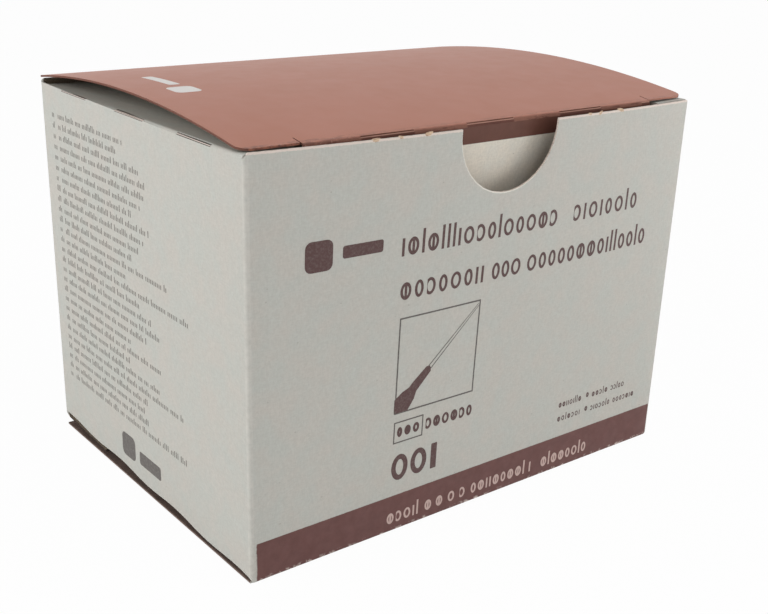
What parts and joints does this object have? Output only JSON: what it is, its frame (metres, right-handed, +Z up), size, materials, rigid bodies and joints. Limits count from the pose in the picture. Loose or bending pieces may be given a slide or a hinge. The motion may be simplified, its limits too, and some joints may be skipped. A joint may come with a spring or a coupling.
{
  "type": "folding carton of hypodermic needles",
  "caption": "Folding carton with a crowned tuck-in lid and a thumb notch, holding stacked strips of sealed hypodermic needle pouches.",
  "frame": {"origin": "on the table, under the middle of the carton's upright walls", "axes": "+X to the right along the front panel, -Y towards the front, +Z up"},
  "size_m": [0.1418, 0.1074, 0.1067],
  "materials": {
    "printed_board": "coated grey-white board with printed fields, raw grey-brown at its cut edges",
    "lid_board": "satin rust-pink print, darker maroon on the fold, grey-white below it",
    "sealed_pouch": "matt white backing paper heat-sealed to formed film"
  },
  "bodies": {
    "carton": {"carton_body": "printed_board", "needle_strip_left_1": "sealed_pouch", "needle_strip_left_2": "sealed_pouch", "needle_strip_left_3": "sealed_pouch", "needle_strip_left_4": "sealed_pouch", "needle_strip_left_5": "sealed_pouch", "needle_strip_left_6": "sealed_pouch", "needle_strip_left_7": "sealed_pouch", "needle_strip_left_8": "sealed_pouch", "needle_strip_left_9": "sealed_pouch", "needle_strip_left_10": "sealed_pouch", "needle_strip_right_1": "sealed_pouch", "needle_strip_right_2": "sealed_pouch", "needle_strip_right_3": "sealed_pouch", "needle_strip_right_4": "sealed_pouch", "needle_strip_right_5": "sealed_pouch", "needle_strip_right_6": "sealed_pouch", "needle_strip_right_7": "sealed_pouch", "needle_strip_right_8": "sealed_pouch", "needle_strip_right_9": "sealed_pouch", "needle_strip_right_10": "sealed_pouch"},
    "lid": {"lid": "lid_board"}
  },
  "joints": [
    {"name": "lid_hinge", "type": "hinge", "parent": "carton", "child": "lid", "pos_m": [0, 0.052, 0.103], "axis": [-1, 0, 0], "range_deg": [0, 240]}
  ]
}
